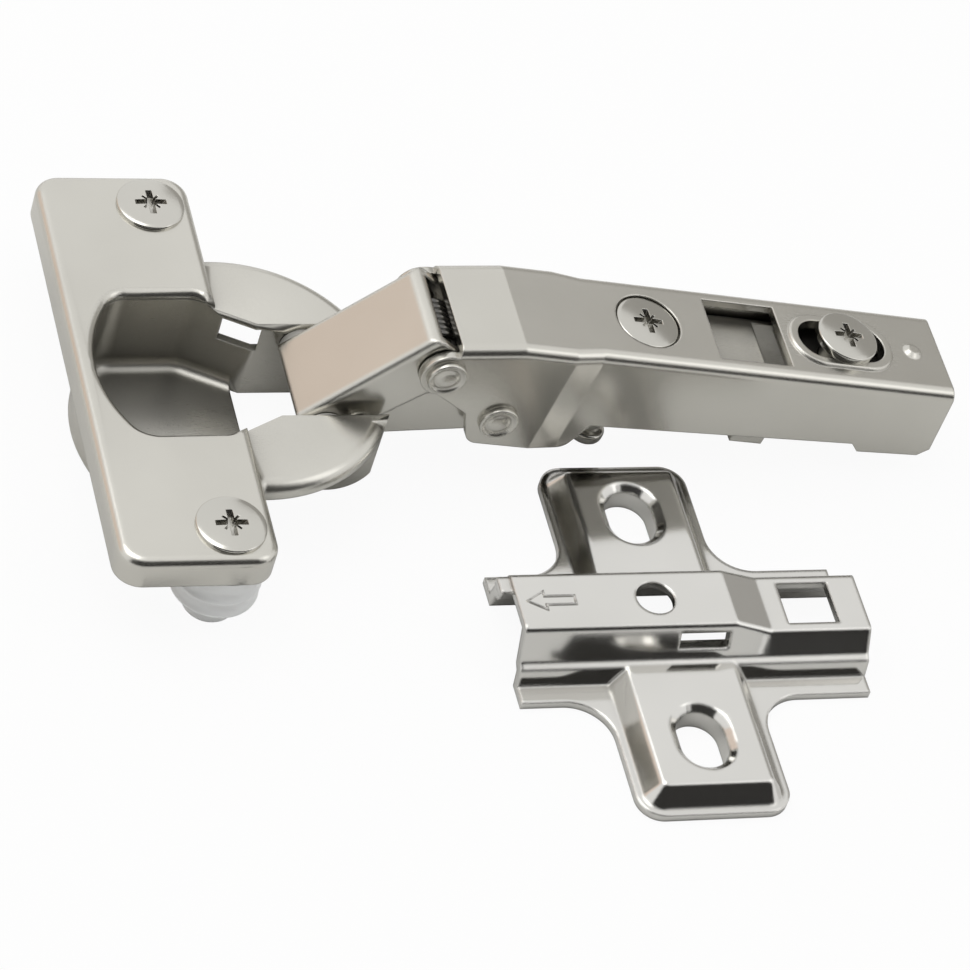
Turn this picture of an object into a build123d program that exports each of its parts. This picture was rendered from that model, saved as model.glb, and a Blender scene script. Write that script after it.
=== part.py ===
from build123d import *
import os
from math import atan2, cos, degrees, hypot, radians, sin, sqrt

# Concealed cup hinge, shown open, with its mounting plate lying beside it.
# Millimetres. Z points up out of the door face along the cup's axis, X runs from the
# cup to the arm, and Y runs along the pivot pins. Z = 0 is the cup's flat bottom.

# ---- sheet metal and fits ----
sheet = 1.0                 # cup, links, arm, adapter and plate
run_gap = 0.05              # radial clearance of a turning pivot
rivet_gap = 0.02            # radial clearance of a pin riveted into its sheet
slide_gap = 0.1             # between faces that slide past each other

# ---- cup and flange ----
cup_height = 13.0           # flange top above the cup's bottom
cup_radius = 17.5           # 35 mm bore in the door
flange_outer = 18.9         # cup axis to the flange's far long edge
flange_inner = 1.0          # cup axis to the flange's near long edge
flange_half = 29.0          # half the flange's length
flange_skirt = 3.9          # height of the flange's turned-down rim
flange_corner = 3.0         # corner radius seen from above
flange_round = 1.1          # bend radius round the flange's top
pocket_rim = 0.9            # rounding of the pocket's rim
rim_flares = ((1.0, 0.0, 22.0), (0.45, 0.22, 58.0))  # depth and growth in parts of pocket_rim, slope
pocket_half = 10.4          # half-width of the pocket
pocket_straight = 3.3       # pocket's straight side ends this far before the axis
pocket_corner = 3.4         # corner radius seen from above
pocket_foot = 1.5           # bend radius between pocket wall and floor
slot_start = 3.6            # where the link slot's straight walls begin
slot_half = 6.9             # half-width of the link slot
floor_end = 2.4             # pocket floor ends here, and the slot is open below
lobe_drop = 1.4             # lobe top below the flange top
lobe_skirt = 2.0            # height of the lobes' rounded outer rim
lobe_round = 1.7            # bend radius of that rim
wall_corner = 5.0           # rounded lower end corner of the slot walls
window_shift = 1.9          # pierced window in each slanting wall, past the wall's middle
window_length = 4.6
window_height = 3.4
window_drop = 2.4           # window's upper edge below the flange top

# ---- flange screws and dowels ----
screw_offset = 6.0          # screw line, from the cup axis away from the arm
screw_half_pitch = 24.0     # 48 mm between the screws
screw_head_radius = 3.95
screw_head_height = 0.7
screw_shank_radius = 1.75
screw_end = 1.5             # screw's lower end above the cup's bottom
head_chamfer = 0.45         # all screw heads
cross_width = 0.9           # cross recess of all screws
cross_reach = 2.25
cross_depth = 1.1
dowel_radius = 5.0
dowel_wide_depth = 9.8      # wide part ends this far below the flange top
dowel_tip_radius = 3.1
dowel_tip_chamfer = 0.6
dowel_barb = 0.35           # depth of the grooves between the dowel's barbs
barb_height = 1.0

# ---- pivots ----
pin_radius = 1.25
rivet_radius = 2.3          # heads of the arm's pins
rivet_height = 0.7
rivet_chamfer = 0.45
inner_pin_inset = 4.2       # inner link's pin inside the cup's edge
cup_pins_apart = 4.1        # outer link's pin behind the inner link's
link_pin_drop = 4.6         # below the flange top
inner_pin_drop = 4.6
cup_pin_proud = 0.5         # how far the cup's pins stand out of the slot walls
door_angle = 98.7           # arm's opening angle as modelled
over_opening = 6.3          # arm opens this much further than modelled
link_swing = 138.94         # outer link's turn from as modelled to shut
inner_ratio = 1.01498       # inner link's turn for each degree of the outer link's
play = 1.45                 # extra radius of the inner link's eye round the arm's rear pin
relief_gap = 0.25           # between a link and the other link's pin as it sweeps past
adapter_travel = 2.0        # adapter slides this far each way in the arm

# ---- outer link ----
link_rise_angle = 43.3      # its bridge above the cup's plane
link_reach = 15.3           # along the bridge, cup pin to arm pin
link_far_drop = 1.3         # arm pin nearer the open side than the cup pin
link_half_width = 5.8
link_bridge_height = 3.2    # bridge top above the cup pin
link_tail = 1.4             # bridge beyond the cup pin
link_nose = 2.0             # bridge beyond the arm pin
link_ear_radius = 2.6
link_nose_round = 1.6
link_round = 0.9            # bend radius along the bridge

# ---- inner link ----
inner_half_width = 4.6
inner_sheet = 1.2
inner_ear_radius = 2.5
inner_eye_wall = 1.1

# ---- arm, measured from its rear end and from its top ----
arm_length = 63.4
arm_half_width = 6.45
arm_front_half = 7.0        # the front is widened to take the links
arm_round = 1.3             # bend radius along the top
arm_wall_rear = 9.8         # wall depth behind
arm_wall_mid = 11.3         # wall depth at mid-length
arm_heel_length = 8.0       # deeper heel at the rear
arm_heel_depth = 11.0
arm_nose_length = 7.4       # front end that dips
arm_nose_dip = 1.2
arm_widening = 13.9         # widened front begins this far behind the web's front end
arm_widening_run = 3.5
front_pin_ahead = 0.6       # front pin beyond the web's front end
front_pin_drop = 5.2
front_ear_radius = 3.0
arm_pins_apart = 9.0        # rear pin behind the front pin, along the arm
rear_pin_drop = 11.4
lobe_depth = 15.4           # lobe that carries the rear pin
lobe_ahead = 2.4            # its lower edge starts this far ahead of the rear pin
lobe_behind = 10.0          # and ends this far behind it
lobe_round_radius = 1.9     # its lower corners
cutout_front = 30.8
cutout_rear = 21.4
cutout_half = 4.6
slot_centre = 13.7          # oval slot round the depth screw
slot_half_length = 5.7
slot_half_height = 2.9
ring_width = 1.1
ring_height = 0.35
dimple_x = 3.9
dimple_radius = 1.2
dimple_height = 0.4
seat_wall = 0.9             # metal round and below the side screw's head

# ---- adapter that the arm is set against ----
adapter_drop = 2.6          # its top below the arm's top
adapter_front = 43.6
adapter_rear = 1.2
adapter_depth = 9.0         # its walls' lower edge below the arm's top
adapter_round = 0.8         # bend radius along its top
hook_front = 24.1
hook_rear = 19.9
hook_depth = 12.5
adapter_gap_front = 23.0
adapter_gap_rear = 19.6

# ---- adjusting screws ----
side_screw_x = 39.0
side_head_radius = 3.95
side_head_height = 1.3
side_head_proud = 0.1       # above the arm's top
side_shank_radius = 2.15
knob_radius = 2.3
knob_neck_radius = 1.5
knob_height = 1.5
depth_screw_x = 13.25
depth_head_radius = 3.75
depth_head_height = 1.3
depth_shank_radius = 2.1
depth_shank_length = 6.5

# ---- latch at the arm's rear ----
latch_pin_x = 7.0
latch_pin_drop = 7.2
latch_pin_radius = 1.0
latch_half_width = 4.1
latch_tail = 2.2            # finger tab beyond the arm's rear end
latch_hook_depth = 10.6
latch_reach = 2.5           # lever ahead of its pin
latch_top = 1.6             # and above it
latch_tab = 1.2             # thickness of the finger tab
latch_tab_start = 3.0       # behind the pin

# ---- closing spring ----
wire_radius = 0.5
coil_radius = 2.0           # centre line of the coil
coil_turns = 6
latch_wire_radius = 0.3
latch_coil_turns = 3

# ---- mounting plate, measured from the middle between its two slots ----
plate_x = 45.3              # that middle in the hinge's frame
plate_y = -31.0
plate_front = 18.9          # spine's length towards the cup
plate_rear = 22.8
plate_height = 7.7          # spine top above the base
spine_flat_half = 3.9       # half-width of the spine's flat top
spine_wall_half = 5.4       # where its upper wall meets the ledge
spine_ledge_half = 6.2      # outer edge of the ledge
spine_ledge_height = 3.6
ledge_slope = 0.5           # ledge falls this much outwards
spine_base_half = 6.9       # where the lower wall meets the foot
plate_foot_half = 9.0
plate_foot = 1.0            # thickness of the foot
spine_round = 0.8           # bend radius along the spine's top
wing_half_length = 25.0
wing_half_width = 9.0
wing_height = 3.3
wing_taper = 38.0           # slope of the wings' edges, in degrees
wing_corner = 3.0
wing_root = 5.0             # concave radius where wing meets foot
wing_wall = 1.4             # wall left round the hollow below a wing
plate_step_start = 6.2      # spine steps down between these two
plate_step_end = 10.7
plate_step = 1.5
centre_hole_x = -2.7
centre_hole_radius = 2.25
plate_pitch = 32.0          # between the two slots
plate_slot_radius = 2.8
plate_slot_length = 7.6
plate_rim_radius = 3.65     # countersink round each slot
plate_sink_depth = 0.8
plate_edge = 0.8            # rounding of the wings' top edge
side_window_start = -0.4    # window in each wall of the spine
side_window_length = 5.9
side_window_height = 2.0
hook_window_start = 13.0    # window for the arm's latch in the spine's top
hook_window_length = 6.2
hook_window_half = 2.9
lug_length = 1.4            # stop lug on the spine's front end
lug_width = 2.2
lug_drop = 0.5              # its top below the spine's top

# ---- derived places ----
inner_pin_x = cup_radius - inner_pin_inset
link_pin_x = inner_pin_x - cup_pins_apart
front_pin_x = arm_length + front_pin_ahead
rear_pin_x = front_pin_x - arm_pins_apart
link_pin_z = cup_height - link_pin_drop
inner_pin_z = cup_height - inner_pin_drop
link_length = hypot(link_reach, link_far_drop)
arm_dip = door_angle - 90
pin_spacing = hypot(inner_pin_x - link_pin_x, inner_pin_z - link_pin_z)
link_over = over_opening * link_swing / door_angle


def at(x=0.0, y=0.0, z=0.0):
    return Location((x, y, z))


def block(x0, x1, half, z0, z1):
    """Box from x0 to x1 and z0 to z1, half to each side of the middle."""
    return at((x0 + x1) / 2, 0, (z0 + z1) / 2) * Box(x1 - x0, 2 * half, z1 - z0)


def bar(radius, length, x=0.0, z=0.0, y=0.0):
    """Cylinder along Y, centred on y."""
    return at(x, y, z) * Rotation(90, 0, 0) * Cylinder(radius, length)


def post(radius, z0, z1, x=0.0, y=0.0):
    """Cylinder along Z from z0 to z1."""
    return at(x, y, (z0 + z1) / 2) * Cylinder(radius, abs(z1 - z0))


def side_face(points):
    """Face in the XZ plane from (x, z) points."""
    return make_face(Polyline(*[(x, 0, z) for x, z in points], close=True).edges())


def slab(face, y0, y1):
    """Face in the XZ plane thickened from y0 to y1."""
    return at(0, y0, 0) * extrude(face, amount=y1 - y0, dir=(0, 1, 0))


def ears(face, inner, outer):
    """The same side plate on both sides of the middle."""
    return slab(face, inner, outer) + slab(face, -outer, -inner)


def on_link(length, angle, x, z):
    """Point reached from (x, z) along a link that rises at angle degrees."""
    return x + length * cos(radians(angle)), z + length * sin(radians(angle))


# Where the pivots stand as modelled
link_angle = link_rise_angle - degrees(atan2(link_far_drop, link_reach))
front_pin = on_link(link_length, link_angle, link_pin_x, link_pin_z)
arm_place = at(front_pin[0], 0, front_pin[1]) * Rotation(0, arm_dip, 0) * at(front_pin_x, 0, front_pin_drop)
rear_pin = (arm_place * at(-rear_pin_x, 0, -rear_pin_drop)).position
inner_length = hypot(rear_pin.X - inner_pin_x, rear_pin.Z - inner_pin_z)
inner_angle = degrees(atan2(rear_pin.Z - inner_pin_z, rear_pin.X - inner_pin_x))
link_place = at(link_pin_x, 0, link_pin_z) * Rotation(0, -link_rise_angle, 0)
inner_place = at(inner_pin_x, 0, inner_pin_z) * Rotation(0, -inner_angle, 0)


def pocket_face(grow):
    """Plan of the pocket and link slot, grown outwards by grow."""
    arc_x = -sqrt((cup_radius - sheet) ** 2 - pocket_half ** 2)
    slot_end = cup_radius + 5
    rim = Polyline((arc_x, pocket_half), (-pocket_straight, pocket_half), (slot_start, slot_half),
                   (slot_end, slot_half), (slot_end, -slot_half), (slot_start, -slot_half),
                   (-pocket_straight, -pocket_half), (arc_x, -pocket_half))
    back = ThreePointArc((arc_x, -pocket_half), (-(cup_radius - sheet), 0), (arc_x, pocket_half))
    face = make_face(rim.edges() + back.edges())
    face = fillet([v for v in face.vertices() if abs(v.X - arc_x) < 0.01], pocket_corner)
    face = fillet([v for v in face.vertices() if abs(v.X + pocket_straight) < 0.01], pocket_corner)
    if grow:
        face = offset(face, amount=grow, kind=Kind.INTERSECTION)
    return face


def make_cup():
    top = cup_height
    lobe_top = top - lobe_drop
    flange = block(-flange_outer, -flange_inner, flange_half, top - flange_skirt, top)
    flange = fillet(flange.edges().filter_by(Axis.Z), flange_corner)
    flange = fillet(flange.faces().sort_by(Axis.Z)[-1].edges(), flange_round)
    under = block(-flange_outer + sheet, -flange_inner - sheet, flange_half - sheet,
                  top - 2 * flange_skirt, top - sheet)
    under = fillet(under.edges().filter_by(Axis.Z), flange_corner - sheet)

    shell = extrude(pocket_face(sheet), amount=top - flange_round)
    shell = shell & Cylinder(cup_radius, 3 * top)
    end_x = sqrt(cup_radius ** 2 - slot_half ** 2)
    side = side_face([(-cup_radius - 1, 0), (end_x, 0), (end_x, top), (-cup_radius - 1, top)])
    side = fillet([v for v in side.vertices() if v.X > 0 and v.Z < 1], wall_corner)
    shell = shell & slab(side, -cup_radius, cup_radius)

    lobes = post(cup_radius, lobe_top - lobe_skirt, lobe_top)
    lobes = fillet(lobes.faces().sort_by(Axis.Z)[-1].edges(), lobe_round)
    lobes -= post(cup_radius - lobe_round, lobe_top - lobe_skirt, lobe_top - sheet)
    lobes -= block(-2 * cup_radius, -flange_inner - sheet / 2, cup_radius, 0, top)

    body = (flange - under) + lobes
    step = block(-flange_inner, 2 * cup_radius, cup_radius, lobe_top, 2 * top)
    body += shell - step
    reach = 4 * cup_radius
    closed_part = pocket_face(0) & at(floor_end - reach / 2) * Rectangle(reach, reach)
    open_part = pocket_face(0) & at(floor_end + reach / 2) * Rectangle(reach, reach)
    cavity = extrude(at(0, 0, sheet) * closed_part, amount=top)
    foot = [e for e in cavity.faces().sort_by(Axis.Z)[0].edges() if e.center().X < floor_end - 0.01]
    body -= fillet(foot, pocket_foot)
    body -= extrude(at(0, 0, -1) * open_part, amount=2 * top)
    # rounded rim of the pocket, as two flares
    for depth, grow, flare in rim_flares:
        rim = at(0, 0, top - depth * pocket_rim) * pocket_face(grow * pocket_rim)
        body -= extrude(rim, amount=depth * pocket_rim, taper=-flare)

    slope = degrees(atan2(pocket_half - slot_half, slot_start + pocket_straight))
    middle_x = (slot_start - pocket_straight) / 2 + window_shift
    middle_y = slot_half + (slot_start - middle_x) * sin(radians(slope)) / cos(radians(slope))
    for way in (1, -1):
        pierce = Box(window_length, 4 * sheet, window_height)
        body -= (at(middle_x, way * middle_y, top - window_drop - window_height / 2)
                 * Rotation(0, 0, -way * slope) * pierce)
        dowel_seat = post(dowel_radius + slide_gap, 0, top - sheet, -screw_offset, way * screw_half_pitch)
        body -= dowel_seat
        body -= post(screw_shank_radius + slide_gap, 0, top + 1, -screw_offset, way * screw_half_pitch)
    body -= bar(pin_radius + rivet_gap, 4 * cup_radius, link_pin_x, link_pin_z)
    body -= bar(pin_radius + rivet_gap, 4 * cup_radius, inner_pin_x, inner_pin_z)
    return body


def cross_recess(z):
    """Cross drive recess that opens upwards at z."""
    low = z - cross_depth
    half = cross_width / 2
    cut = block(-cross_reach, cross_reach, half, low, z + sheet)
    cut += block(-half, half, cross_reach, low, z + sheet)
    return cut + at(0, 0, z - cross_depth / 2) * Cone(1.2 * half, 2.4 * half, cross_depth)


def make_flange_screw():
    head_top = cup_height + screw_head_height
    head = post(screw_head_radius, cup_height, head_top)
    head = chamfer(head.faces().sort_by(Axis.Z)[-1].edges(), head_chamfer)
    shank = post(screw_shank_radius, screw_end, cup_height)
    return (head + shank) - cross_recess(head_top)


def make_dowel():
    top = cup_height - sheet - rivet_gap
    low = cup_height - dowel_wide_depth
    bore = screw_shank_radius + rivet_gap
    body = post(dowel_radius, low, top) + post(dowel_tip_radius, 0, low)
    body = chamfer(body.edges().group_by(Axis.Z)[0], dowel_tip_chamfer)
    z = low + barb_height
    while z < top - flange_skirt - barb_height:
        body -= post(2 * dowel_radius, z, z + barb_height) - post(dowel_radius - dowel_barb, low, top)
        z += 2 * barb_height
    return body - post(bore, screw_end - slide_gap, cup_height)


def riveted_pin(half_span):
    """Pin along Y with a low head beyond each end of its span."""
    pin = bar(pin_radius, 2 * half_span)
    for way in (1, -1):
        head = bar(rivet_radius, rivet_height, y=way * (half_span + rivet_height / 2))
        tip = head.faces().sort_by(Axis.Y)[-1 if way > 0 else 0]
        pin += chamfer(tip.edges(), rivet_chamfer)
    return pin


def pin_relief(open_angle, swing, half_width):
    """Path that the other link's pin sweeps in a link's own frame, with clearance."""
    line_angle = degrees(atan2(inner_pin_z - link_pin_z, inner_pin_x - link_pin_x))
    path = CenterArc((0, 0), pin_spacing, open_angle + line_angle, -swing)
    sweep = Rotation(90, 0, 0) * SlotArc(path, 2 * (pin_radius + relief_gap))
    return slab(sweep, -2 * half_width, 2 * half_width)


def make_outer_link():
    far_x = link_reach
    nose_x = link_reach + link_nose
    hull = make_hull((at(0, 0) * Circle(link_ear_radius)).edges()
                     + (at(far_x, -link_far_drop) * Circle(link_ear_radius)).edges()
                     + Line((-link_tail, link_bridge_height), (nose_x, link_bridge_height)).edges())
    nose = [v for v in hull.vertices() if v.X > nose_x - 0.1 and v.Y > link_bridge_height - 0.1]
    plate = Rotation(90, 0, 0) * fillet(nose, link_nose_round)
    outer = slab(plate, -link_half_width, link_half_width)
    section = block(-2 * link_reach, 2 * link_reach, link_half_width, -2 * link_reach, link_bridge_height)
    bends = section.edges().filter_by(Axis.X).sort_by(Axis.Z)[-2:]
    outer &= fillet(bends, link_round)
    hollow = block(-2 * link_reach, 2 * link_reach, link_half_width - sheet,
                   -2 * link_reach, link_bridge_height - sheet)
    body = outer - hollow
    for x, z in ((0, 0), (far_x, -link_far_drop)):
        body -= bar(pin_radius + run_gap, 4 * link_half_width, x, z)
    open_angle = -link_rise_angle + link_over
    return body - pin_relief(open_angle, link_over + link_swing, link_half_width)


def make_inner_link():
    eye = pin_radius + play
    hull = make_hull((at(0, 0) * Circle(inner_ear_radius)).edges()
                     + (at(inner_length, 0) * Circle(eye + inner_eye_wall)).edges())
    plate = Rotation(90, 0, 0) * hull
    body = ears(plate, inner_half_width - inner_sheet, inner_half_width)
    web_start = inner_ear_radius + 0.5
    web_end = inner_length - eye - inner_eye_wall
    web = slab(plate, -inner_half_width, inner_half_width)
    web &= block(web_start, web_end, inner_half_width, -inner_length, -inner_ear_radius + inner_sheet)
    body += web
    body -= bar(pin_radius + run_gap, 4 * inner_half_width)
    body -= bar(eye, 4 * inner_half_width, inner_length, 0)
    open_angle = 180 - inner_angle + link_over * inner_ratio
    return body - pin_relief(open_angle, (link_over + link_swing) * inner_ratio, inner_half_width)


def arm_profile(inset):
    """Side view of the arm's wall, with the top lowered by inset for the hollow."""
    nose_x = -arm_length
    bend_x = nose_x + arm_nose_length
    if inset:
        far_x = nose_x - arm_length
        low_z = -2 * lobe_depth
        return side_face([(arm_length, -inset), (bend_x, -inset), (nose_x, -inset - arm_nose_dip),
                          (far_x, -inset - arm_nose_dip), (far_x, low_z), (arm_length, low_z)])
    step = arm_heel_depth - arm_wall_rear
    lobe_front_x = -rear_pin_x - lobe_ahead
    lobe_rear_x = -rear_pin_x + lobe_behind
    outline = side_face([
        (0, 0), (bend_x, 0), (nose_x, -arm_nose_dip),
        (-front_pin_x, -front_pin_drop - front_ear_radius),
        (lobe_front_x - lobe_round_radius, -rear_pin_drop + front_ear_radius / 5),
        (lobe_front_x, -lobe_depth), (lobe_rear_x, -lobe_depth),
        (lobe_rear_x + lobe_round_radius, -arm_wall_mid),
        (-arm_heel_length - step, -arm_wall_rear), (-arm_heel_length, -arm_heel_depth),
        (0, -arm_heel_depth + step / 3), (step, -arm_wall_rear + step / 3)])
    lobe_ends = [v for v in outline.vertices() if abs(v.Z + lobe_depth) < 0.01]
    outline = fillet(lobe_ends, lobe_round_radius)
    ear = Rotation(90, 0, 0) * (at(-front_pin_x, -front_pin_drop) * Circle(front_ear_radius))
    return outline + ear


def arm_plan(inset):
    """Plan of the arm, drawn in by inset for the hollow."""
    narrow = arm_half_width - inset
    wide = arm_front_half - inset
    wide_x = -arm_length + arm_widening
    narrow_x = wide_x + arm_widening_run
    front_x = -2 * arm_length
    points = [(arm_length, narrow), (narrow_x, narrow), (wide_x, wide), (front_x, wide)]
    mirror_points = [(x, -y) for x, y in reversed(points)]
    return make_face(Polyline(*points, *mirror_points, close=True).edges())


def make_arm():
    depth = 2 * lobe_depth
    outer = slab(arm_profile(0), -arm_front_half, arm_front_half)
    outer &= extrude(at(0, 0, -depth) * arm_plan(0), amount=2 * depth)
    upper = [e for e in outer.edges() if e.center().Z > -arm_nose_dip]
    outer = fillet([e for e in upper if abs(e.center().Y) > cutout_half], arm_round)
    hollow = slab(arm_profile(sheet), -arm_front_half, arm_front_half)
    hollow &= extrude(at(0, 0, -depth) * arm_plan(sheet), amount=2 * depth)
    body = outer - hollow
    # the web stops short of the front pin, so the spring shows ahead of it
    body -= block(-2 * front_pin_x, -arm_length, arm_front_half - sheet, -depth, sheet)

    # seat for the side screw's head
    seat_drop = side_head_height
    body += post(side_head_radius + seat_wall, -seat_drop - seat_wall, -sheet / 2, -side_screw_x)
    body -= post(side_head_radius + slide_gap, -seat_drop, sheet, -side_screw_x)
    body -= post(side_shank_radius + slide_gap, -depth, sheet, -side_screw_x)

    body -= block(-cutout_front, -cutout_rear, cutout_half, -2 * sheet, sheet)
    ring = SlotCenterToCenter(2 * (slot_half_length - slot_half_height), 2 * (slot_half_height + ring_width))
    raised = extrude(at(-slot_centre, 0, -sheet / 2) * ring, amount=sheet / 2 + ring_height)
    raised = chamfer(raised.faces().sort_by(Axis.Z)[-1].edges(), ring_height * 0.6)
    body += raised
    opening = SlotCenterToCenter(2 * (slot_half_length - slot_half_height), 2 * slot_half_height)
    body -= extrude(at(-slot_centre, 0, -2 * sheet) * opening, amount=4 * sheet)
    dimple = at(-dimple_x, 0, dimple_height / 2) * Cone(dimple_radius, dimple_radius / 2, dimple_height)
    body += dimple

    body -= bar(pin_radius + rivet_gap, 4 * arm_front_half, -front_pin_x, -front_pin_drop)
    body -= bar(pin_radius + rivet_gap, 4 * arm_front_half, -rear_pin_x, -rear_pin_drop)
    return body


def make_adapter():
    half = arm_half_width - sheet - slide_gap
    top = -adapter_drop
    body = block(-adapter_front, -adapter_rear, half, -adapter_depth, top)
    body = fillet(body.edges().filter_by(Axis.X).sort_by(Axis.Z)[-2:], adapter_round)
    body += block(-hook_front, -hook_rear, half, -hook_depth, top - sheet)
    body -= block(-2 * adapter_front, sheet, half - sheet, -2 * hook_depth, top - sheet)
    body -= block(-adapter_gap_front, -adapter_gap_rear, half - sheet, top - 2 * sheet, 0)
    travel_slot = SlotCenterToCenter(2 * adapter_travel, 2 * (side_shank_radius + slide_gap))
    body -= extrude(at(-side_screw_x, 0, -2 * hook_depth) * travel_slot, amount=2 * hook_depth)
    body -= post(depth_shank_radius + run_gap, -2 * hook_depth, 0, -depth_screw_x)
    body -= bar(latch_pin_radius + rivet_gap, 4 * half, -latch_pin_x, -latch_pin_drop)
    return body


def make_side_screw():
    head_height = (arm_place * at(-side_screw_x)).position.Z
    length = (head_height - knob_radius * sin(radians(arm_dip))) / cos(radians(arm_dip))
    head = post(side_head_radius, -side_head_height + rivet_gap, side_head_proud)
    head = chamfer(head.faces().sort_by(Axis.Z)[-1].edges(), head_chamfer)
    shank = post(side_shank_radius, -length + 2 * knob_height, -side_head_height / 2)
    neck = post(knob_neck_radius, -length + knob_height / 2, -length + 2.5 * knob_height)
    knob = post(knob_radius, -length, -length + knob_height)
    knob = chamfer(knob.edges().filter_by(GeomType.CIRCLE), head_chamfer)
    screw = head + shank + neck + knob
    return at(-side_screw_x) * (screw - cross_recess(side_head_proud))


def make_depth_screw():
    low = ring_height + rivet_gap
    head_top = low + depth_head_height
    head = post(depth_head_radius, low, head_top)
    head = chamfer(head.faces().sort_by(Axis.Z)[-1].edges(), head_chamfer)
    shank = post(depth_shank_radius, -depth_shank_length, head_top - cross_depth)
    return at(-depth_screw_x) * ((head + shank) - cross_recess(head_top))


def make_latch_lever():
    pin_x = -latch_pin_x
    pin_z = -latch_pin_drop
    front_x = pin_x - latch_reach
    top_z = pin_z + latch_top
    tab_x = pin_x + latch_tab_start
    tab_z = top_z - latch_tab
    outline = side_face([(front_x, top_z), (latch_tail, top_z), (latch_tail, tab_z),
                         (tab_x, pin_z - latch_tab / 2),
                         (pin_x + latch_pin_radius, -latch_hook_depth), (front_x, -latch_hook_depth)])
    body = ears(outline, latch_half_width - sheet, latch_half_width)
    body += block(tab_x, latch_tail, latch_half_width, tab_z, top_z)
    body -= bar(latch_pin_radius + run_gap, 4 * latch_half_width, pin_x, pin_z)
    return body


def make_latch_pin():
    half = arm_half_width - sheet - slide_gap
    return bar(latch_pin_radius, 2 * half, -latch_pin_x, -latch_pin_drop)


def coil(centre, wire, turns):
    """Close-wound coil along Y as one turned sleeve, with a ridge for each turn."""
    pitch = 2 * wire
    start = -turns * pitch / 2
    outline = [(centre - wire, start), (centre, start)]
    for number in range(turns):
        y = start + number * pitch
        outline += [(centre + wire, y + pitch / 2), (centre, y + pitch)]
    outline.append((centre - wire, start + turns * pitch))
    section = make_face(Polyline(*outline, close=True).edges())
    return revolve(section, axis=Axis.Y)


def make_latch_spring():
    """Small coil round the latch pin."""
    centre = latch_pin_radius + slide_gap + latch_wire_radius
    return at(-latch_pin_x, 0, -latch_pin_drop) * coil(centre, latch_wire_radius, latch_coil_turns)


def make_closing_spring():
    """Coil round the arm's front pin, between the ears of the outer link."""
    return coil(coil_radius, wire_radius, coil_turns)


def make_washer():
    gap = slot_half - link_half_width
    ring = bar(link_ear_radius - 0.2, gap - 2 * slide_gap, y=link_half_width + gap / 2)
    return ring - bar(pin_radius + run_gap, 4 * slot_half)


def wing_face(inset):
    """Plan of the two wings with their concave roots."""
    cross = Rectangle(2 * wing_half_width, 2 * wing_half_length)
    cross = fillet(cross.vertices(), wing_corner)
    return offset(cross, amount=-inset) if inset else cross


def spine_section(x, drop, inset):
    """Cross-section of the spine at x, lowered by drop, drawn in by inset for its hollow."""
    top = plate_height - drop
    half = [(spine_flat_half, top), (spine_wall_half, spine_ledge_height),
            (spine_ledge_half, spine_ledge_height - ledge_slope), (spine_base_half, 0)]
    outline = [(y - inset, z - inset) for y, z in half]
    points = outline + [(-y, z) for y, z in reversed(outline)]
    face = make_face(Polyline(*[(x, y, z) for y, z in points], close=True).edges())
    if inset:
        return face
    return fillet(face.vertices().sort_by(Axis.Z)[-2:], spine_round)


def spine_form(inset):
    """Spine as a prism that steps down towards its rear, drawn in by inset."""
    front = spine_section(-plate_front - inset, 0, inset)
    body = extrude(front, amount=plate_front + inset + plate_step_start, dir=(1, 0, 0))
    rear = spine_section(plate_step_end, plate_step, inset)
    body += loft([spine_section(plate_step_start, 0, inset), rear])
    return body + extrude(rear, amount=plate_rear + inset - plate_step_end, dir=(1, 0, 0))


def make_mounting_plate():
    length = plate_front + plate_rear
    middle = (plate_rear - plate_front) / 2
    foot_plan = at(middle, 0) * Rectangle(length, 2 * plate_foot_half) + wing_face(0)
    roots = [v for v in foot_plan.vertices() if abs(abs(v.X) - wing_half_width) < 0.01
             and abs(abs(v.Y) - plate_foot_half) < 0.01]
    foot = extrude(fillet(roots, wing_root), amount=plate_foot)
    wings = extrude(wing_face(0), amount=wing_height, taper=wing_taper)
    wings = fillet(wings.faces().sort_by(Axis.Z)[-1].edges(), plate_edge)
    body = foot + wings + spine_form(0)
    lug_top = plate_height - lug_drop
    lug = block(-plate_front - lug_length, -plate_front + sheet, lug_width / 2, lug_top - sheet, lug_top)
    body += at(0, spine_flat_half - lug_width / 2) * lug

    under_wing = wing_height - sheet
    slack = 2 * plate_height
    hollow = extrude(wing_face(wing_wall), amount=under_wing, taper=wing_taper)
    body -= hollow
    body -= spine_form(sheet)

    half_gap = plate_slot_length / 2 - plate_slot_radius
    for way in (1, -1):
        place = at(0, way * plate_pitch / 2) * Rotation(0, 0, 90)
        collar = SlotCenterToCenter(2 * half_gap, 2 * plate_rim_radius)
        hole = SlotCenterToCenter(2 * half_gap, 2 * plate_slot_radius)
        body += extrude(place * collar, amount=under_wing + sheet / 2)
        flare = degrees(atan2(plate_rim_radius - plate_slot_radius, plate_sink_depth))
        sink = at(0, 0, wing_height - plate_sink_depth) * place * hole
        body -= extrude(sink, amount=plate_sink_depth + run_gap, taper=-flare)
        body -= extrude(at(0, 0, -sheet) * place * hole, amount=slack)
    body -= post(centre_hole_radius, 0, slack, centre_hole_x)
    window_low = spine_ledge_height + sheet
    body -= block(side_window_start, side_window_start + side_window_length, spine_base_half,
                  window_low, window_low + side_window_height)
    body -= block(hook_window_start, hook_window_start + hook_window_length, hook_window_half,
                  wing_height, slack)
    return body


def ride_arm(piece):
    return arm_place * piece


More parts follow.
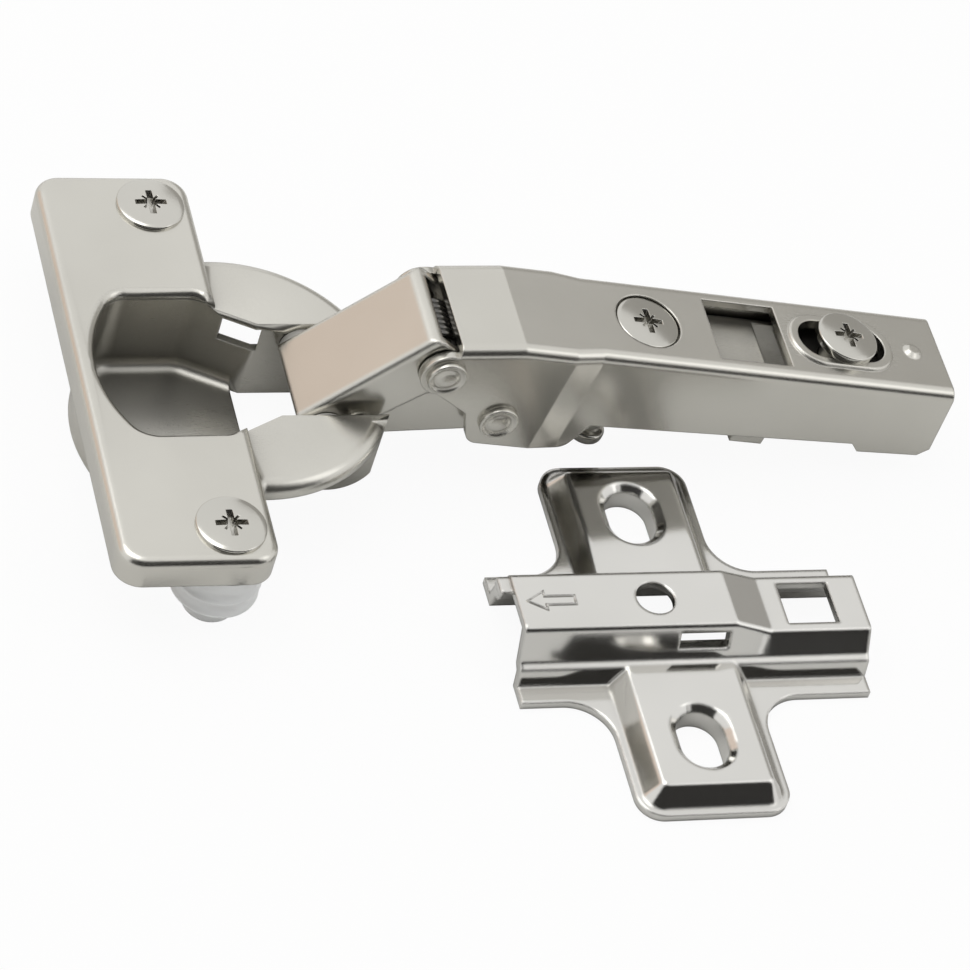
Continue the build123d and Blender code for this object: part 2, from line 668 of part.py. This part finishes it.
def build():
    pieces = {}
    pieces["cup"] = make_cup()
    for name, way in (("front", -1), ("rear", 1)):
        spot = at(-screw_offset, way * screw_half_pitch, 0)
        pieces["flange_screw_" + name] = spot * make_flange_screw()
        pieces["dowel_" + name] = spot * make_dowel()
    cup_pin = bar(pin_radius, 2 * (slot_half + sheet + cup_pin_proud))
    pieces["outer_link_pin"] = at(link_pin_x, 0, link_pin_z) * cup_pin
    pieces["inner_link_pin"] = at(inner_pin_x, 0, inner_pin_z) * cup_pin
    pieces["outer_link"] = link_place * make_outer_link()
    washer = make_washer()
    pieces["link_washer_rear"] = at(link_pin_x, 0, link_pin_z) * washer
    pieces["link_washer_front"] = at(link_pin_x, 0, link_pin_z) * mirror(washer, Plane.XZ)
    pieces["inner_link"] = inner_place * make_inner_link()
    pieces["arm"] = ride_arm(make_arm())
    arm_pin = riveted_pin(arm_front_half)
    pieces["arm_front_pin"] = ride_arm(at(-front_pin_x, 0, -front_pin_drop) * arm_pin)
    pieces["arm_rear_pin"] = ride_arm(at(-rear_pin_x, 0, -rear_pin_drop) * arm_pin)
    pieces["closing_spring"] = ride_arm(at(-front_pin_x, 0, -front_pin_drop) * make_closing_spring())
    pieces["side_screw"] = ride_arm(make_side_screw())
    pieces["adapter"] = ride_arm(make_adapter())
    pieces["depth_screw"] = ride_arm(make_depth_screw())
    pieces["latch_lever"] = ride_arm(make_latch_lever())
    pieces["latch_pin"] = ride_arm(make_latch_pin())
    pieces["latch_spring"] = ride_arm(make_latch_spring())
    pieces["mounting_plate"] = at(plate_x, plate_y, 0) * make_mounting_plate()
    return pieces


os.makedirs("parts", exist_ok=True)
for name, piece in build().items():
    piece.label = name
    export_step(piece, "parts/" + name + ".step")
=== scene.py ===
import math
import bpy
import bmesh
from mathutils import Matrix, Vector


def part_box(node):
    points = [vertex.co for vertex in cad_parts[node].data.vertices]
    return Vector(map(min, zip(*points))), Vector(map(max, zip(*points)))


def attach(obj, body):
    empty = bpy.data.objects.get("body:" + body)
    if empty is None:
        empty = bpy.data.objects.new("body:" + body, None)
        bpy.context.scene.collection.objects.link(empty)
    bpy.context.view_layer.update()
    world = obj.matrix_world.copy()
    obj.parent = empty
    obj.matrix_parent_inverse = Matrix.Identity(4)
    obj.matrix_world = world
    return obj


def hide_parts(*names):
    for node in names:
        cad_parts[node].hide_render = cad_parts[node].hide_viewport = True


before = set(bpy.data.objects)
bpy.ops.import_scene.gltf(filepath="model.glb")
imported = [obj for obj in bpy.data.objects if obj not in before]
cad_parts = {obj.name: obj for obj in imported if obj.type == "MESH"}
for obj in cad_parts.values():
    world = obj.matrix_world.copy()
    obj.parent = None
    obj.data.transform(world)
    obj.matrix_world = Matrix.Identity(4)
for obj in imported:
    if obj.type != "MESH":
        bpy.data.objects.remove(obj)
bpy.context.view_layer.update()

print("frame loaded")


# one socket of a node tree, so that sums of sockets read as plain maths
class Expr:
    def __init__(self, tree, socket):
        self.tree = tree
        self.socket = socket

    def join(self, operation, other, swapped=False):
        node = self.tree.nodes.new("ShaderNodeMath")
        node.operation = operation
        sides = (other, self) if swapped else (self, other)
        for index, side in enumerate(sides):
            if isinstance(side, Expr):
                self.tree.links.new(side.socket, node.inputs[index])
            else:
                node.inputs[index].default_value = side
        return Expr(self.tree, node.outputs[0])

    def __add__(self, other):
        return self.join("ADD", other)

    def __radd__(self, other):
        return self.join("ADD", other, True)

    def __sub__(self, other):
        return self.join("SUBTRACT", other)

    def __rsub__(self, other):
        return self.join("SUBTRACT", other, True)

    def __mul__(self, other):
        return self.join("MULTIPLY", other)

    def __rmul__(self, other):
        return self.join("MULTIPLY", other, True)


class NodeKit:
    def __init__(self, tree):
        self.tree = tree

    def plug(self, value, socket):
        if isinstance(value, Expr):
            self.tree.links.new(value.socket, socket)
        else:
            socket.default_value = value

    # makes any node: settings come first, then the values or links of its sockets
    def node(self, kind, output=0, settings=None, **sockets):
        made = self.tree.nodes.new(kind)
        for key, value in (settings or {}).items():
            if key == "stops":
                while len(made.color_ramp.elements) < len(value):
                    made.color_ramp.elements.new(0.5)
                for element, (place, colour) in zip(made.color_ramp.elements, value):
                    element.position = place
                    element.color = colour
            else:
                setattr(made, key, value)
        for key, value in sockets.items():
            number = key.removeprefix("input")
            name = int(number) if number.isdigit() else key.replace("_", " ")
            self.plug(value, made.inputs[name])
        return Expr(self.tree, made.outputs[output])

    def blend(self, factor, first, second):
        colours = [one if isinstance(one, Expr) else (*one, 1) for one in (first, second)]
        return self.node("ShaderNodeMix", 2, dict(data_type="RGBA"),
                         input0=factor, input6=colours[0], input7=colours[1])


class Finish(NodeKit):
    def __init__(self, name):
        self.material = bpy.data.materials.new(name)
        self.material.use_nodes = True
        super().__init__(self.material.node_tree)
        self.shader = self.tree.nodes["Principled BSDF"]

    def feed(self, name, value):
        self.plug(value, self.shader.inputs[name])


# plated steel: clouds in the plating, drawn grain, soft edges and painted shade in corners
def nickelFinish(name, look):
    finish = Finish(name)
    place = finish.node("ShaderNodeTexCoord", 3)
    grain = finish.node("ShaderNodeMapping", Vector=place, Scale=look["grainStretch"])
    streak = finish.node("ShaderNodeTexNoise", Vector=grain, Scale=look["grainScale"], Detail=4.0,
                         Roughness=0.6)
    cloud = finish.node("ShaderNodeTexNoise", Vector=place, Scale=look["cloudScale"], Detail=3.0,
                        Roughness=0.5)
    speck = finish.node("ShaderNodeTexNoise", Vector=place, Scale=look["speckScale"], Detail=2.0)
    plating = finish.blend(cloud, look["dark"], look["light"])
    # painted shade: the base colour darkens towards a dark colour where ambient occlusion finds surfaces
    # close by, and gets rougher there
    crevice = finish.node("ShaderNodeAmbientOcclusion", 1, dict(samples=8, only_local=look["ownShade"]),
                          Distance=look["paintedShadeReach"])
    paintedShade = (1 - crevice) * look["paintedShade"]
    finish.feed("Base Color", finish.blend(paintedShade, plating, look["paintedShadeColour"]))
    finish.feed("Metallic", 1.0)
    roughness = look["roughness"] + (cloud - 0.5) * look["roughnessCloud"]
    finish.feed("Roughness", roughness + (streak - 0.5) * look["streakRough"] + paintedShade * look["paintedShadeRough"])
    softEdge = finish.node("ShaderNodeBevel", 0, dict(samples=6), Radius=look["edge"])
    height = streak * look["streakShare"] + speck * (1 - look["streakShare"])
    finish.feed("Normal", finish.node("ShaderNodeBump", Height=height, Strength=look["bump"],
                                      Distance=look["bumpDepth"], Normal=softEdge))
    return finish.material


# satin steel gets a little painted shade in its corners
satin = dict(grainStretch=(1, 6, 6), grainScale=900.0, cloudScale=55.0, speckScale=2600.0,
             dark=(0.55, 0.535, 0.49), light=(0.66, 0.645, 0.595), roughness=0.25, roughnessCloud=0.06,
             streakRough=0.05, paintedShadeRough=0.25, bump=0.10, bumpDepth=0.00003, streakShare=0.6,
             edge=0.00030, paintedShade=0.55, paintedShadeReach=0.0012, paintedShadeColour=(0.16, 0.15, 0.135), ownShade=True)
# the cup gets strong painted shade reaching deep into its pocket
cupLook = dict(satin, paintedShade=1.0, paintedShadeReach=0.012, paintedShadeColour=(0.070, 0.068, 0.060))
# the adapter also gets painted shade where the arm covers it, as the arm's nearness counts too
adapterLook = dict(satin, paintedShade=0.9, paintedShadeReach=0.005, paintedShadeColour=(0.05, 0.048, 0.044), ownShade=False)
linkLook = dict(satin, edge=0.00070)
bright = dict(satin, dark=(0.60, 0.59, 0.56), light=(0.72, 0.71, 0.68), roughness=0.10, roughnessCloud=0.04,
              bump=0.04, edge=0.00060)
wire = dict(satin, dark=(0.10, 0.098, 0.095), light=(0.17, 0.165, 0.155), roughness=0.28, edge=0.0001)
# screws get painted shade in and round their drive recesses
screwSteel = dict(satin, dark=(0.50, 0.49, 0.45), light=(0.64, 0.625, 0.58), roughness=0.17, bump=0.08,
                  edge=0.00012, paintedShade=0.6, paintedShadeReach=0.0008, paintedShadeColour=(0.10, 0.095, 0.085))
satinNickel = nickelFinish("satinNickel", satin)
cupNickel = nickelFinish("cupNickel", cupLook)
linkNickel = nickelFinish("linkNickel", linkLook)
adapterNickel = nickelFinish("adapterNickel", adapterLook)
brightNickel = nickelFinish("brightNickel", bright)
springWire = nickelFinish("springWire", wire)
screwNickel = nickelFinish("screwNickel", screwSteel)


def nylonFinish(name, look):
    finish = Finish(name)
    place = finish.node("ShaderNodeTexCoord", 3)
    cloud = finish.node("ShaderNodeTexNoise", Vector=place, Scale=look["cloudScale"], Detail=3.0)
    finish.feed("Base Color", finish.blend(cloud, look["dark"], look["light"]))
    finish.feed("Roughness", look["roughness"] + (cloud - 0.5) * look["roughnessCloud"])
    finish.feed("Normal", finish.node("ShaderNodeBump", Height=cloud, Strength=look["bump"],
                                      Distance=look["bumpDepth"]))
    return finish.material


clean = dict(cloudScale=140.0, dark=(0.88, 0.89, 0.88), light=(0.95, 0.955, 0.95), roughness=0.36,
             roughnessCloud=0.12, bump=0.15, bumpDepth=0.0001)
# a darker copy of the white nylon: painted shade for the link washers
shadedNylonLook = dict(clean, dark=(0.30, 0.29, 0.27), light=(0.42, 0.41, 0.38))
whiteNylon = nylonFinish("whiteNylon", clean)
greasedNylon = nylonFinish("greasedNylon", shadedNylonLook)
print("finishes made")

# nodes that keep their shape
nodeFinish = {
    "cup": cupNickel, "arm": satinNickel, "adapter": adapterNickel, "inner_link": satinNickel,
    "outer_link": linkNickel, "latch_lever": satinNickel, "latch_pin": satinNickel,
    "outer_link_pin": satinNickel, "inner_link_pin": satinNickel,
    "arm_front_pin": satinNickel, "arm_rear_pin": satinNickel,
    "mounting_plate": brightNickel, "closing_spring": springWire, "latch_spring": springWire,
    "flange_screw_front": screwNickel, "flange_screw_rear": screwNickel,
    "side_screw": screwNickel, "depth_screw": screwNickel,
    "dowel_front": whiteNylon, "dowel_rear": whiteNylon,
    "link_washer_front": greasedNylon, "link_washer_rear": greasedNylon,
}
for name, material in nodeFinish.items():
    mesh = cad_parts[name].data
    mesh.materials.clear()
    mesh.materials.append(material)
print("nodes dressed")


# places shared by several pieces: the arm's own frame, and an axis laid along the pins
armTurn = math.radians(8.7)
armPlace = Matrix.Translation((0.085277, 0, 0.013406)) @ Matrix.Rotation(armTurn, 4, "Y")
alongPins = Matrix.Rotation(math.radians(-90), 4, "X")


def middleOf(node):
    low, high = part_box(node)
    return (Vector(low) + Vector(high)) / 2


# the mesh of an object as its modifiers leave it
def meshOf(holder):
    return bpy.data.meshes.new_from_object(holder.evaluated_get(bpy.context.evaluated_depsgraph_get()))


def addObject(name, data):
    holder = bpy.data.objects.new(name, data)
    bpy.context.scene.collection.objects.link(holder)
    return holder


# a turned solid from its outline, given as radius and height from the lower end up
def turn(outline, steps, loop=False):
    bm = bmesh.new()
    rings = []
    for radius, height in outline:
        if radius < 1e-9:
            rings.append([bm.verts.new((0, 0, height))])
            continue
        ring = []
        for step in range(steps):
            angle = step / steps * 2 * math.pi
            spot = (radius * math.cos(angle), radius * math.sin(angle), height)
            ring.append(bm.verts.new(spot))
        rings.append(ring)
    pairs = list(zip(rings, rings[1:])) + ([(rings[-1], rings[0])] if loop else [])
    for lower, upper in pairs:
        for step in range(steps):
            after = (step + 1) % steps
            corners = [lower[step % len(lower)], lower[after % len(lower)],
                       upper[after % len(upper)], upper[step % len(upper)]]
            bm.faces.new(list(dict.fromkeys(corners)))
    bmesh.ops.recalc_face_normals(bm, faces=bm.faces)
    mesh = bpy.data.meshes.new("turned")
    bm.to_mesh(mesh)
    bm.free()
    return mesh


# points of an arc in an outline, angles in degrees from the outward direction
def arc(centreRadius, centreHeight, size, first, last, steps=6):
    points = []
    for step in range(steps + 1):
        angle = math.radians(first + (last - first) * step / steps)
        points.append((centreRadius + size * math.cos(angle), centreHeight + size * math.sin(angle)))
    return points


# low dome from the rim to the axis
def dome(radius, rimHeight, rise, steps=8):
    points = []
    for step in range(1, steps + 1):
        out = radius * (1 - step / steps)
        points.append((out, rimHeight + rise * (1 - (out / radius) ** 2)))
    return points


# sets a finished mesh in its place as a piece of its body
def finishPiece(name, mesh, material, seat, body, replaced):
    mesh.transform(seat)
    if not mesh.materials:
        mesh.materials.append(material)
    mesh.shade_smooth()
    mesh.set_sharp_from_angle(angle=math.radians(38))
    piece = addObject(name, mesh)
    modifier = piece.modifiers.new("normals", "WEIGHTED_NORMAL")
    modifier.keep_sharp = True
    modifier.weight = 90
    smoothed = meshOf(piece)
    piece.modifiers.remove(modifier)
    piece.data = smoothed
    smoothed.name = name
    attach(piece, body)
    if replaced:
        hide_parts(*replaced)


# runs a geometry tree once over a mesh and gives back the plain result
def runTree(tree, mesh, values):
    holder = addObject("holder", mesh)
    modifier = holder.modifiers.new("tree", "NODES")
    modifier.node_group = tree
    for item in tree.interface.items_tree:
        if item.in_out == "INPUT" and item.name in values:
            modifier[item.identifier] = values[item.name]
    result = meshOf(holder)
    bpy.data.objects.remove(holder)
    return result


def newTree(name, inputs):
    tree = bpy.data.node_groups.new(name, "GeometryNodeTree")
    tree.interface.new_socket("Geometry", in_out="INPUT", socket_type="NodeSocketGeometry")
    for label, kind in inputs:
        tree.interface.new_socket(label, in_out="INPUT", socket_type=kind)
    tree.interface.new_socket("Geometry", in_out="OUTPUT", socket_type="NodeSocketGeometry")
    kit = NodeKit(tree)
    entry = tree.nodes.new("NodeGroupInput")
    given = {socket.name: Expr(tree, socket) for socket in entry.outputs if socket.name}
    return kit, given


def endTree(kit, geometry, material):
    real = kit.node("GeometryNodeRealizeInstances", Geometry=geometry)
    dressed = kit.node("GeometryNodeSetMaterial", Geometry=real, Material=material)
    leave = kit.tree.nodes.new("NodeGroupOutput")
    kit.plug(dressed, leave.inputs[0])
    return kit.tree


def box(x0, x1, y0, y1, z0, z1):
    corners = [(x, y, z) for x in (x0, x1) for y in sorted((y0, y1)) for z in (z0, z1)]
    faces = [(0, 1, 3, 2), (4, 6, 7, 5), (0, 4, 5, 1), (2, 3, 7, 6), (0, 2, 6, 4), (1, 5, 7, 3)]
    mesh = bpy.data.meshes.new("box")
    mesh.from_pydata(corners, [], faces)
    return mesh


# joins meshes to the first one or cuts them out of it and gives back the plain result
def combine(mesh, tools, operation):
    holders = [addObject("combined", one) for one in (mesh, *tools)]
    for tool in holders[1:]:
        modifier = holders[0].modifiers.new("boolean", "BOOLEAN")
        modifier.operation = operation
        modifier.solver = "EXACT"
        modifier.object = tool
    result = meshOf(holders[0])
    for holder in holders:
        bpy.data.objects.remove(holder)
    return result


# cup with its skirt closed beside the dowels and its foot rounded as drawn sheet is
cupForm = dict(screwX=-0.006, screwY=0.024, patchHalf=0.0020, patchThick=0.0009, endFace=0.029,
               sideFace=-0.001, skirtLow=0.0091, skirtHigh=0.01203, radius=0.0175, footRound=0.0024,
               footLead=0.00012, beyond=0.001)


def mergedCopy(node):
    bm = bmesh.new()
    bm.from_mesh(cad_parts[node].data)
    bmesh.ops.remove_doubles(bm, verts=bm.verts, dist=1e-7)
    mesh = bpy.data.meshes.new(node + "Copy")
    bm.to_mesh(mesh)
    bm.free()
    return mesh


# the mesh's own coordinate closest to a wanted one, so that a patch lies flush
def nearestIn(mesh, axis, wanted):
    return min((vert.co[axis] for vert in mesh.vertices), key=lambda value: abs(value - wanted))


def makeCup():
    form = cupForm
    mesh = mergedCopy("cup")
    high, half, thick = form["skirtHigh"], form["patchHalf"], form["patchThick"]
    low = nearestIn(mesh, 2, form["skirtLow"])
    side = nearestIn(mesh, 0, form["sideFace"])
    patches = []
    for way in (1, -1):
        end, middle = nearestIn(mesh, 1, form["endFace"] * way), form["screwY"] * way
        patches.append(box(form["screwX"] - half, form["screwX"] + half, end, end - thick * way, low, high))
        patches.append(box(side - thick, side, middle - half, middle + half, low, high))
    mesh = combine(mesh, patches, "UNION")
    size, radius, lead = form["footRound"], form["radius"], form["footLead"]
    ring = [(radius + form["beyond"], -form["beyond"]), (radius + form["beyond"], size)]
    ring += arc(radius - size + lead, size, size, 0, -90, 8) + [(radius - size, -form["beyond"])]
    mesh = combine(mesh, [turn(ring, 96, True)], "DIFFERENCE")
    mesh.materials.clear()
    return mesh


finishPiece("cupBody", makeCup(), cupNickel, Matrix.Identity(4), "cup_set", ["cup"])
print("cup made")


# a close coil along Z that follows a spiral
def coilTree():
    number = "NodeSocketFloat"
    labels = ("Turns", "Radius", "Wire", "Length")
    kit, given = newTree("coil", [(label, number) for label in labels] + [("Finish", "NodeSocketMaterial")])
    spiral = kit.node("GeometryNodeCurveSpiral", Resolution=36, Rotations=given["Turns"],
                      Start_Radius=given["Radius"], End_Radius=given["Radius"], Height=given["Length"])
    ring = kit.node("GeometryNodeCurvePrimitiveCircle", Resolution=12, Radius=given["Wire"])
    tube = kit.node("GeometryNodeCurveToMesh", Curve=spiral, Profile_Curve=ring, Fill_Caps=True)
    centred = kit.node("ShaderNodeCombineXYZ", Z=given["Length"] * -0.5)
    placed = kit.node("GeometryNodeTransform", Geometry=tube, Translation=centred)
    return endTree(kit, placed, given["Finish"])


windCoil = coilTree()
coils = {
    "closingCoil": dict(node="closing_spring", body="arm", turns=6.5, wire=0.00050, radius=0.00200,
                        length=0.0052),
    "latchCoil": dict(node="latch_spring", body="adapter", turns=4.0, wire=0.00022, radius=0.00140,
                      length=0.0014),
}
for name, coil in coils.items():
    values = {label: coil[label.lower()] for label in ("Turns", "Radius", "Wire", "Length")}
    values["Finish"] = springWire
    mesh = runTree(windCoil, bpy.data.meshes.new("empty"), values)
    seat = Matrix.Translation(middleOf(coil["node"])) @ alongPins
    finishPiece(name, mesh, springWire, seat, coil["body"], [coil["node"]])
print("coils wound")


# drive recess: a cross with four narrow ticks between its arms, its walls drawn in towards the floor
recess = dict(reach=0.00215, half=0.00042, tickReach=0.00150, tickHalf=0.00017, depth=0.00085, draw=0.62,
              above=0.0004, rise=0.00028, rim=0.00022)


def recessCutter(top):
    reach, half, tick = recess["reach"], recess["half"], recess["tickHalf"]
    lean = math.sqrt(0.5)
    far, near = (recess["tickReach"] + tick) * lean, (recess["tickReach"] - tick) * lean
    foot = half + tick / lean
    quarter = [(reach, -half), (reach, half), (foot, half), (far, near), (near, far), (half, foot)]
    turns = [Matrix.Rotation(math.radians(90 * number), 2) for number in range(4)]
    outline = [turned @ Vector(point) for turned in turns for point in quarter]
    count = len(outline)
    corners = [(*point * recess["draw"], top - recess["depth"]) for point in outline]
    corners += [(*point, top + recess["above"]) for point in outline]
    around = [(index, (index + 1) % count) for index in range(count)]
    sides = [(index, after, count + after, count + index) for index, after in around]
    mesh = bpy.data.meshes.new("recess")
    mesh.from_pydata(corners, [], [tuple(reversed(range(count))), tuple(range(count, 2 * count)), *sides])
    return mesh


# lengths along each screw's axis: the flange screws' from the cup's bottom, the others' from the arm's top
flangeScrew = dict(body="cup_set", head=0.00395, headLow=0.0130, headHigh=0.01345, shank=0.00175, low=0.0015)
screws = {
    "flangeScrewFront": dict(flangeScrew, node="flange_screw_front", centre=(-0.006, -0.024)),
    "flangeScrewRear": dict(flangeScrew, node="flange_screw_rear", centre=(-0.006, 0.024)),
    "depthScrew": dict(node="depth_screw", body="depth_screw", head=0.00375, headLow=0.00037,
                       headHigh=0.00135, shank=0.0021, low=-0.0065, armX=-0.01325),
    "sideScrew": dict(node="side_screw", body="side_screw", head=0.00385, headLow=-0.00125,
                      headHigh=-0.0001, shank=0.00215, armX=-0.039, knob=0.0023, neck=0.0015),
}
shankEnd = 0.0004
knobForm = dict(lowRound=0.0007, highRound=0.0006, height=0.0017, neckLow=0.0018, neckHigh=0.0034, end=0.0040,
                lean=0.16)


# the side screw's end: a rounded knob below a neck
def knobOutline(screw, tip):
    form, knob = knobForm, screw["knob"]
    lowRound, highRound = form["lowRound"], form["highRound"]
    points = [(0, tip)] + arc(knob - lowRound, tip + lowRound, lowRound, -90, 0)
    points += arc(knob - highRound, tip + form["height"] - highRound, highRound, 0, 90)
    points += [(screw["neck"], tip + form["neckLow"]), (screw["neck"], tip + form["neckHigh"])]
    return points + [(screw["shank"], tip + form["end"])]


def screwOutline(screw, seat):
    head, shank, rim = screw["head"], screw["shank"], recess["rim"]
    if "knob" in screw:
        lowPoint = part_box(screw["node"])[0][2]
        tip = (lowPoint - seat.translation.z) / math.cos(armTurn) + shank * knobForm["lean"]
        outline = knobOutline(screw, tip)
    else:
        low = screw["low"]
        outline = [(0, low), (shank - shankEnd, low), (shank, low + shankEnd)]
    outline += [(shank, screw["headLow"]), (head, screw["headLow"])]
    outline += arc(head - rim, screw["headHigh"] - rim, rim, 0, 70, 4)
    outline += dome(head - rim, screw["headHigh"], recess["rise"])
    return outline


for name, screw in screws.items():
    if "armX" in screw:
        seat = armPlace @ Matrix.Translation((screw["armX"], 0, 0))
    else:
        seat = Matrix.Translation((*screw["centre"], 0))
    cutter = recessCutter(screw["headHigh"] + recess["rise"])
    mesh = combine(turn(screwOutline(screw, seat), 56), [cutter], "DIFFERENCE")
    finishPiece(name, mesh, screwNickel, seat, screw["body"], [screw["node"]])
print("screws made")

# riveted pins: a plain shank and on each end a dished head with a raised middle
pins = dict(shank=0.00125, span=0.0070, head=0.0023, height=0.0007, bead=0.00022, dish=0.0014,
            dishDepth=0.0003, dishWall=0.0002, button=0.00018)


def pinOutline():
    head, bead, span = pins["head"], pins["bead"], pins["span"]
    top = span + pins["height"]
    upper = [(pins["shank"], span), (head, span)]
    upper += arc(head - bead, top - bead, bead, 0, 150, 6)
    floor = top - pins["dishDepth"]
    upper += [(pins["dish"] + pins["dishWall"], floor), (pins["dish"], floor)]
    upper += dome(pins["dish"], top - pins["button"], pins["button"], 5)
    lower = [(radius, -height) for radius, height in reversed(upper)]
    return lower + upper


for name, node in (("frontPin", "arm_front_pin"), ("rearPin", "arm_rear_pin")):
    seat = Matrix.Translation(middleOf(node)) @ alongPins
    finishPiece(name, turn(pinOutline(), 48), satinNickel, seat, "arm", [node])
print("pins made")

# moulded dowels with soft barbs, a neck inside the flange and an open bore round the screw
dowels = dict(wide=0.0050, groove=0.00455, neck=0.0038, tip=0.0031, tipRound=0.0008, top=0.01198,
              wideTop=0.0090, shoulder=0.0032, lead=0.0003, barbs=2, pitch=0.0020, barbRound=0.00035,
              barbRise=0.00045, barbEnd=0.0012, bore=0.00177, boreLow=0.0014)


def dowelOutline():
    form = dowels
    wide, groove, shoulder, lead = form["wide"], form["groove"], form["shoulder"], form["lead"]
    outline = [(0, 0)] + arc(form["tip"] - form["tipRound"], form["tipRound"], form["tipRound"], -90, 0)
    outline += [(form["tip"], shoulder - lead), (groove - form["tipRound"] / 2, shoulder)]
    for number in range(form["barbs"]):
        low = shoulder + number * form["pitch"]
        outline += arc(wide - form["barbRound"], low + form["barbRise"], form["barbRound"], -80, 60, 5)
        outline += [(groove, low + form["barbEnd"]), (groove, low + form["pitch"])]
    outline += [(wide, shoulder + form["barbs"] * form["pitch"] + lead), (wide, form["wideTop"])]
    outline += [(form["neck"], form["wideTop"]), (form["neck"], form["top"])]
    outline += [(form["bore"], form["top"]), (form["bore"], form["boreLow"]), (0, form["boreLow"])]
    return outline


for name, node in (("dowelFront", "dowel_front"), ("dowelRear", "dowel_rear")):
    centre = middleOf(node)
    seat = Matrix.Translation((centre.x, centre.y, 0))
    finishPiece(name, turn(dowelOutline(), 64), whiteNylon, seat, "cup_set", [node])
print("dowels made")

# fitting arrow pressed up from the plate's spine, as a low ridge round its outline
arrow = dict(centre=(0.0303, -0.031, 0.0077), length=0.0056, width=0.0026, head=0.0021, shaft=0.0012,
             ridge=0.00022)


def arrowTree():
    kit, given = newTree("ridge", [("Ridge", "NodeSocketFloat"), ("Finish", "NodeSocketMaterial")])
    line = kit.node("GeometryNodeMeshToCurve", Mesh=given["Geometry"])
    ring = kit.node("GeometryNodeCurvePrimitiveCircle", Resolution=10, Radius=given["Ridge"])
    tube = kit.node("GeometryNodeCurveToMesh", Curve=line, Profile_Curve=ring)
    return endTree(kit, tube, given["Finish"])


def arrowLine():
    half, shaft = arrow["width"] / 2, arrow["shaft"] / 2
    front, rear = -arrow["length"] / 2, arrow["length"] / 2
    neck = front + arrow["head"]
    corners = [(front, 0), (neck, half), (neck, shaft), (rear, shaft)]
    corners += [(x, -y) for x, y in reversed(corners[1:])]
    mesh = bpy.data.meshes.new("arrowLine")
    edges = [(index, (index + 1) % len(corners)) for index in range(len(corners))]
    mesh.from_pydata([(x, y, 0) for x, y in corners], edges, [])
    return mesh


arrowMesh = runTree(arrowTree(), arrowLine(), {"Ridge": arrow["ridge"], "Finish": brightNickel})
finishPiece("fittingArrow", arrowMesh, brightNickel, Matrix.Translation(arrow["centre"]), "cup_set", [])
print("arrow pressed")

# floor, and cards round the table that the camera can't see and that only colour what the metal mirrors
stageLook = dict(floorSize=1.6, floorColour=(0.72, 0.72, 0.7092), floorDrop=0.0001, shownShare=0.94,
                 middle=(0.03, -0.01, 0.01))
cards = {
    "frontCard": dict(spot=(0.0, -0.70, 0.75), width=1.9, height=1.42, glow=(0.030, 0.029, 0.028)),
    "warmCard": dict(spot=(-0.62, 0.48, 0.24), width=0.62, height=0.46, glow=(0.93, 0.79, 0.70)),
    "rearCard": dict(spot=(0.62, 0.50, 0.26), width=0.80, height=0.66, glow=(0.46, 0.45, 0.43)),
}


def glowFinish(name, glow):
    finish = Finish(name)
    finish.feed("Base Color", (0, 0, 0, 1))
    finish.feed("Emission Color", (*glow, 1))
    finish.feed("Emission Strength", 1.0)
    finish.feed("Roughness", 1.0)
    return finish.material


def floorFinish():
    finish = Finish("paleFloor")
    finish.feed("Base Color", (*stageLook["floorColour"], 1))
    finish.feed("Roughness", 0.9)
    seen = finish.node("ShaderNodeLightPath", 0)
    white = finish.node("ShaderNodeEmission", Color=(1, 1, 1, 1), Strength=1.0)
    surface = Expr(finish.tree, finish.shader.outputs[0])
    mixed = finish.node("ShaderNodeMixShader", input0=seen * stageLook["shownShare"], input1=surface,
                        input2=white)
    finish.plug(mixed, finish.tree.nodes["Material Output"].inputs["Surface"])
    return finish.material


def addCard(name, spot, width, height, material):
    bpy.ops.mesh.primitive_plane_add(size=1)
    card = bpy.context.object
    card.name = name
    card.scale = (width, height, 1)
    card.location = spot
    card.rotation_mode = "QUATERNION"
    facing = Vector((stageLook["middle"][0], 0, spot[2])) - Vector(spot)
    card.rotation_quaternion = facing.to_track_quat("Z", "Y")
    card.data.materials.append(material)
    card.visible_camera = False
    card.visible_shadow = False


bpy.ops.mesh.primitive_plane_add(size=stageLook["floorSize"])
floor = bpy.context.object
floor.name = "floor"
floor.location = (*stageLook["middle"][:2], -stageLook["floorDrop"])
floor.data.materials.append(floorFinish())
for name, card in cards.items():
    addCard(name, card["spot"], card["width"], card["height"], glowFinish(name, card["glow"]))

world = bpy.data.worlds.new("studio")
bpy.context.scene.world = world
world.use_nodes = True
background = world.node_tree.nodes["Background"]
background.inputs[0].default_value = (1, 1, 1, 1)
background.inputs[1].default_value = 1.0

lamps = {
    "key": dict(spot=(-0.20, 0.10, 0.60), size=0.45, power=1.3),
    "fill": dict(spot=(0.45, -0.30, 0.50), size=0.40, power=0.35),
}
for name, lamp in lamps.items():
    data = bpy.data.lights.new(name, "AREA")
    data.size = lamp["size"]
    data.energy = lamp["power"]
    light = addObject(name, data)
    light.location = lamp["spot"]
    light.rotation_mode = "QUATERNION"
    aim = Vector(stageLook["middle"]) - Vector(lamp["spot"])
    light.rotation_quaternion = aim.to_track_quat("-Z", "Y")

lens = dict(focal=163.7, spot=(-0.1371, -0.3176, 0.3612),
            right=(0.9434, -0.2276, 0.2415), up=(0.0145, 0.7554, 0.6552), back=(-0.3316, -0.6145, 0.7159))
cameraData = bpy.data.cameras.new("camera")
cameraData.lens = lens["focal"]
cameraData.sensor_width = 36.0
cameraData.clip_start = 0.01
camera = addObject("camera", cameraData)
turned = Matrix((lens["right"], lens["up"], lens["back"])).transposed().to_4x4()
camera.matrix_world = Matrix.Translation(lens["spot"]) @ turned
bpy.context.scene.camera = camera
bpy.context.scene.view_settings.view_transform = "Standard"
print("stage set")
